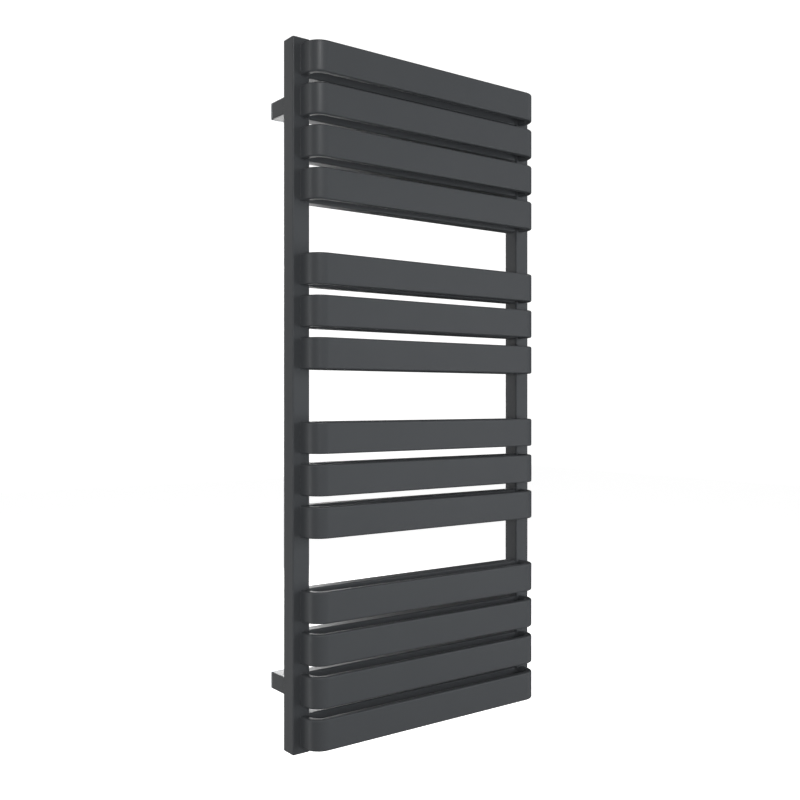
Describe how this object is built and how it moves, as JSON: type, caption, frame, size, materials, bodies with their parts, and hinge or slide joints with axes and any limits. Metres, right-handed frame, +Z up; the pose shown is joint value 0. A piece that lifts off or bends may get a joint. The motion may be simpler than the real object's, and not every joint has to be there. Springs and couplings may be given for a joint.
{
  "type": "towel radiator",
  "caption": "Wall-hung hot-water towel radiator: flat bars bent round at both ends, in groups with towel gaps, on two square uprights, with wall brackets and an air vent.",
  "frame": {"origin": "centre of the four wall screw holes, on the wall's face", "axes": "+Z up, +X to the right seen from the room, +Y into the wall; the radiator stands on the -Y side"},
  "size_m": [0.5, 0.111, 1.11],
  "materials": {
    "anthracite_paint": "semi-matt powder coat",
    "zinc_steel": "zinc plated",
    "nickel_plate": "nickel plated",
    "rubber_seal": "matt"
  },
  "bodies": {
    "wall_anchors": {"wall_spigot_top_left": "zinc_steel", "wall_spigot_top_right": "zinc_steel", "wall_spigot_bottom_left": "zinc_steel", "wall_spigot_bottom_right": "zinc_steel"},
    "radiator": {"left_upright": "anthracite_paint", "right_upright": "anthracite_paint", "left_top_cap": "anthracite_paint", "right_top_cap": "anthracite_paint", "left_inlet_boss": "anthracite_paint", "right_inlet_boss": "anthracite_paint", "front_bar_01": "anthracite_paint", "front_bar_02": "anthracite_paint", "front_bar_03": "anthracite_paint", "front_bar_04": "anthracite_paint", "front_bar_05": "anthracite_paint", "front_bar_06": "anthracite_paint", "front_bar_07": "anthracite_paint", "front_bar_08": "anthracite_paint", "front_bar_09": "anthracite_paint", "front_bar_10": "anthracite_paint", "front_bar_11": "anthracite_paint", "front_bar_12": "anthracite_paint", "front_bar_13": "anthracite_paint", "front_bar_14": "anthracite_paint", "rear_tube_01": "anthracite_paint", "rear_tube_02": "anthracite_paint", "rear_tube_03": "anthracite_paint", "rear_tube_04": "anthracite_paint", "rear_tube_05": "anthracite_paint", "rear_tube_06": "anthracite_paint", "rear_tube_07": "anthracite_paint", "rear_tube_08": "anthracite_paint", "rear_tube_09": "anthracite_paint", "rear_tube_10": "anthracite_paint", "rear_tube_11": "anthracite_paint", "rear_tube_12": "anthracite_paint", "rear_tube_13": "anthracite_paint", "rear_tube_14": "anthracite_paint", "bracket_sleeve_top_left": "anthracite_paint", "bracket_sleeve_top_right": "anthracite_paint", "bracket_sleeve_bottom_left": "anthracite_paint", "bracket_sleeve_bottom_right": "anthracite_paint", "bracket_set_screws": "zinc_steel", "vent_boss": "anthracite_paint", "vent_plug": "nickel_plate", "vent_seal": "rubber_seal"},
    "bleed_screw": {"bleed_screw": "nickel_plate", "bleed_cone": "rubber_seal"}
  },
  "joints": [
    {"name": "wall_distance", "type": "slide", "parent": "wall_anchors", "child": "radiator", "axis": [0, -1, 0], "range_m": [0, 0.01]},
    {"name": "bleed_turn", "type": "hinge", "parent": "radiator", "child": "bleed_screw", "pos_m": [0.235, -0.04, 0.527], "axis": [0, 1, 0], "range_deg": [0, 270]}
  ]
}
